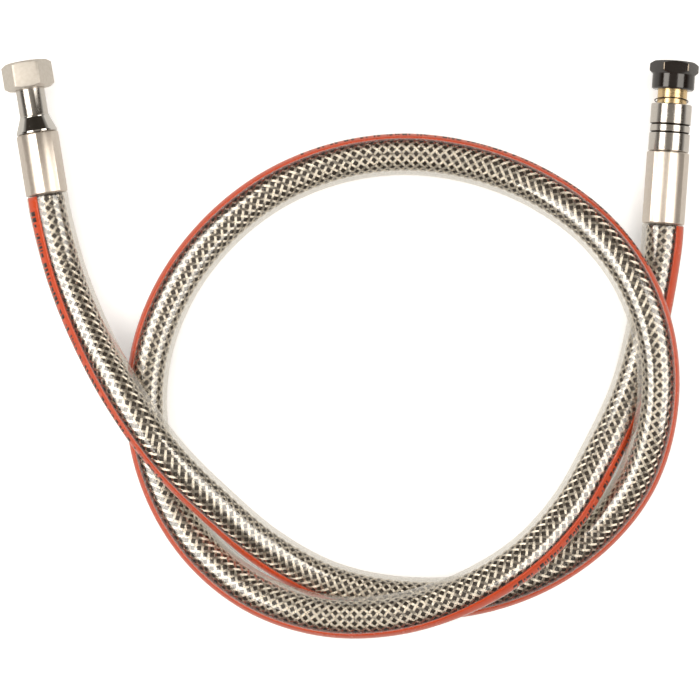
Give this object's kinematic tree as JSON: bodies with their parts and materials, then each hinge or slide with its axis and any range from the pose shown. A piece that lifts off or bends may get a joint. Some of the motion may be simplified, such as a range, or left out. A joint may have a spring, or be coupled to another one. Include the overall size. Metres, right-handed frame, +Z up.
{
  "type": "flexible gas hose",
  "caption": "Flexible gas hose with a clear sheath over a braid and an orange stripe, crimped ferrules and a captive union nut on each end, lying in one loose loop.",
  "frame": {"origin": "on the table, at the middle of the box round the two end fittings, the free hose left out", "axes": "+X from the nickelled end fitting to the black one, +Y towards the nuts' open ends, +Z up from the table"},
  "size_m": [0.3743, 0.309, 0.0456],
  "materials": {
    "sheathed_braid": "clear glossy PVC over a stainless wire braid, with an orange stripe",
    "satin_nickel": "satin nickel plate on brass and steel",
    "polished_chrome": "polished chrome plate",
    "black_oxide": "black oxide on turned steel, rubbed pale at the corners",
    "brass": "bright turned brass",
    "spring_wire": "dark drawn spring wire",
    "fibre_gasket": "pressed fibre sheet",
    "seal_rubber": "moulded nitrile rubber"
  },
  "bodies": {
    "hose_line": {"hose": "sheathed_braid", "left_gasket": "fibre_gasket", "left_tailpiece": "polished_chrome", "left_ferrule": "satin_nickel", "right_gasket": "fibre_gasket", "right_tailpiece": "brass", "right_o_ring": "seal_rubber", "right_wire_ring": "spring_wire", "right_body": "polished_chrome", "right_ferrule": "satin_nickel"},
    "left_nut": {"left_nut": "satin_nickel"},
    "right_nut": {"right_nut": "black_oxide"}
  },
  "joints": [
    {"name": "left_nut_spin", "type": "hinge", "parent": "hose_line", "child": "left_nut", "pos_m": [-0.17164, 0.02846, 0.012], "axis": [-0.1599, 0.9871, 0], "continuous": true},
    {"name": "right_nut_spin", "type": "hinge", "parent": "hose_line", "child": "right_nut", "pos_m": [0.17316, 0.02802, 0.0115], "axis": [0.0715, 0.9974, 0], "continuous": true}
  ]
}
